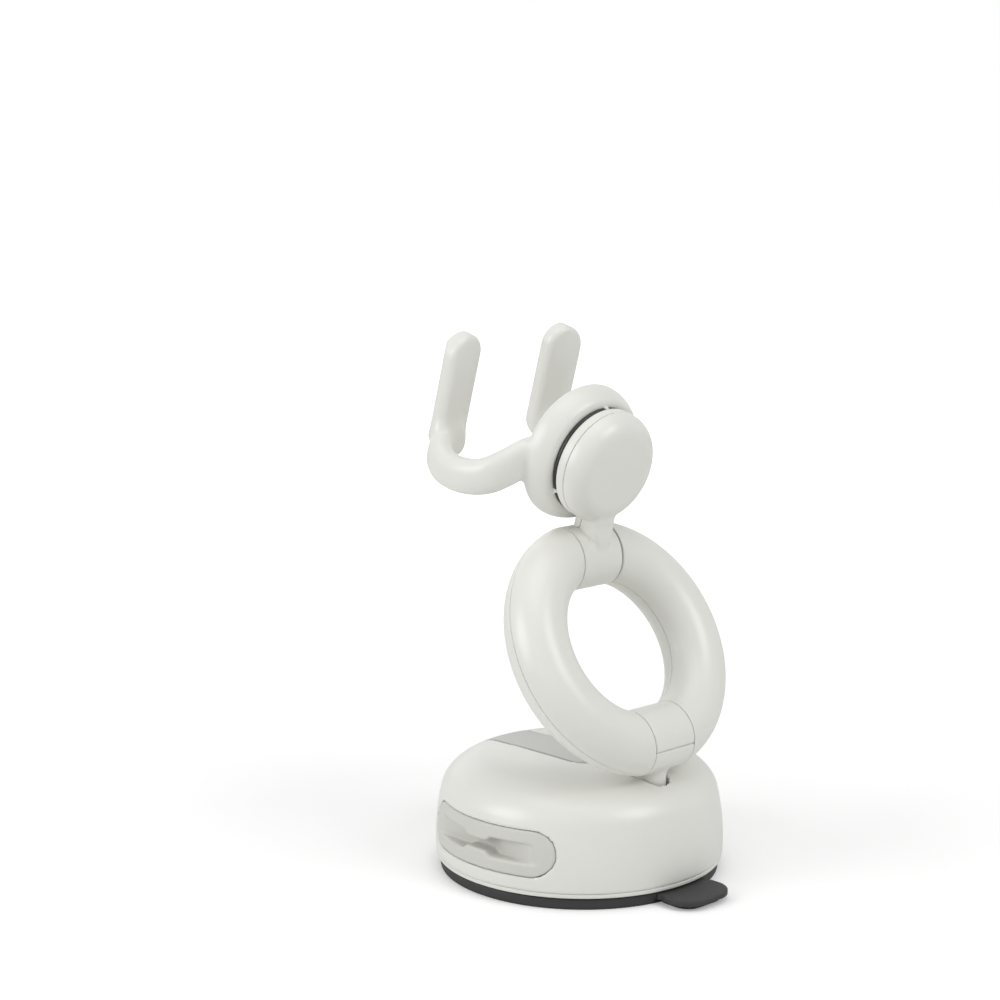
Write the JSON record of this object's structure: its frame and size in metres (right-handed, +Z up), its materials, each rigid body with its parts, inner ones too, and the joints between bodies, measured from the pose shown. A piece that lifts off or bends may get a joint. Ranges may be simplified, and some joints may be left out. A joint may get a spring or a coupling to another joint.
{
  "type": "car and desk phone mount",
  "caption": "Off-white suction-cup phone mount: lever-lock base with a cable clip, hollow ring arm between friction hinges and a swivelling cradle with hooked prongs for a stick-on phone grip.",
  "frame": {"origin": "centre of the suction cup, on the surface it grips", "axes": "+Z up, away from the surface; X along both hinge pins, with the cable clip on +X; -Y towards the user and the phone, +Y towards the pull tab"},
  "size_m": [0.064, 0.0719, 0.1188],
  "materials": {
    "body": "satin soft-touch off-white with a very fine grain",
    "lever": "satin pale warm grey with a very fine grain",
    "clip": "matt pale warm grey, soft moulded",
    "cup": "matt black, fine pebbled grip on the tab",
    "glide": "smooth black, low friction",
    "inner": "plain dark moulding",
    "steel": "plain machined"
  },
  "bodies": {
    "base": {"suction_cup": "cup", "base_plate": "body", "base_shell": "body", "base_screws": "steel", "cable_clip": "clip", "hinge_foot": "body", "hinge_cap": "body", "foot_screws": "steel"},
    "plunger": {"suction_plunger": "inner", "lever_pin": "steel"},
    "lever": {"suction_lever": "lever"},
    "ring": {"ring_left_front": "body", "ring_left_rear": "body", "ring_right_front": "body", "ring_right_rear": "body", "lower_axle": "steel", "lower_axle_nut": "steel", "lower_friction_washers": "inner", "lower_spring_washer": "steel", "upper_axle": "steel", "upper_axle_nut": "steel", "upper_friction_washers": "inner", "upper_spring_washer": "steel"},
    "head": {"head_rear_shell": "body", "head_front_shell": "body", "head_screws": "steel", "swivel_screw": "steel", "swivel_retainer": "steel", "swivel_spring_washer": "steel"},
    "cradle": {"cradle": "body", "cradle_cap": "body", "glide_ring": "glide"}
  },
  "joints": [
    {"name": "plunger_slide", "type": "slide", "parent": "base", "child": "plunger", "axis": [0, 0, -1], "range_m": [0, 0.0012], "deforming": ["suction_cup"]},
    {"name": "lever_flip", "type": "hinge", "parent": "plunger", "child": "lever", "pos_m": [0, 0, 0.019], "axis": [-1, 0, 0], "range_deg": [0, 80]},
    {"name": "ring_pivot", "type": "hinge", "parent": "base", "child": "ring", "pos_m": [0, 0.02235, 0.03225], "axis": [1, 0, 0], "range_deg": [-60, 13]},
    {"name": "head_pivot", "type": "hinge", "parent": "ring", "child": "head", "pos_m": [0, 0.00006, 0.07055], "axis": [1, 0, 0], "range_deg": [-130, 16]},
    {"name": "cradle_swivel", "type": "hinge", "parent": "head", "child": "cradle", "pos_m": [0, 0.0059, 0.09078], "axis": [0, 0.9607, -0.2777], "continuous": true}
  ],
  "couplings": [
    {"joint": "plunger_slide", "follows": "lever_flip", "m_per_rad": 0.00085944}
  ]
}
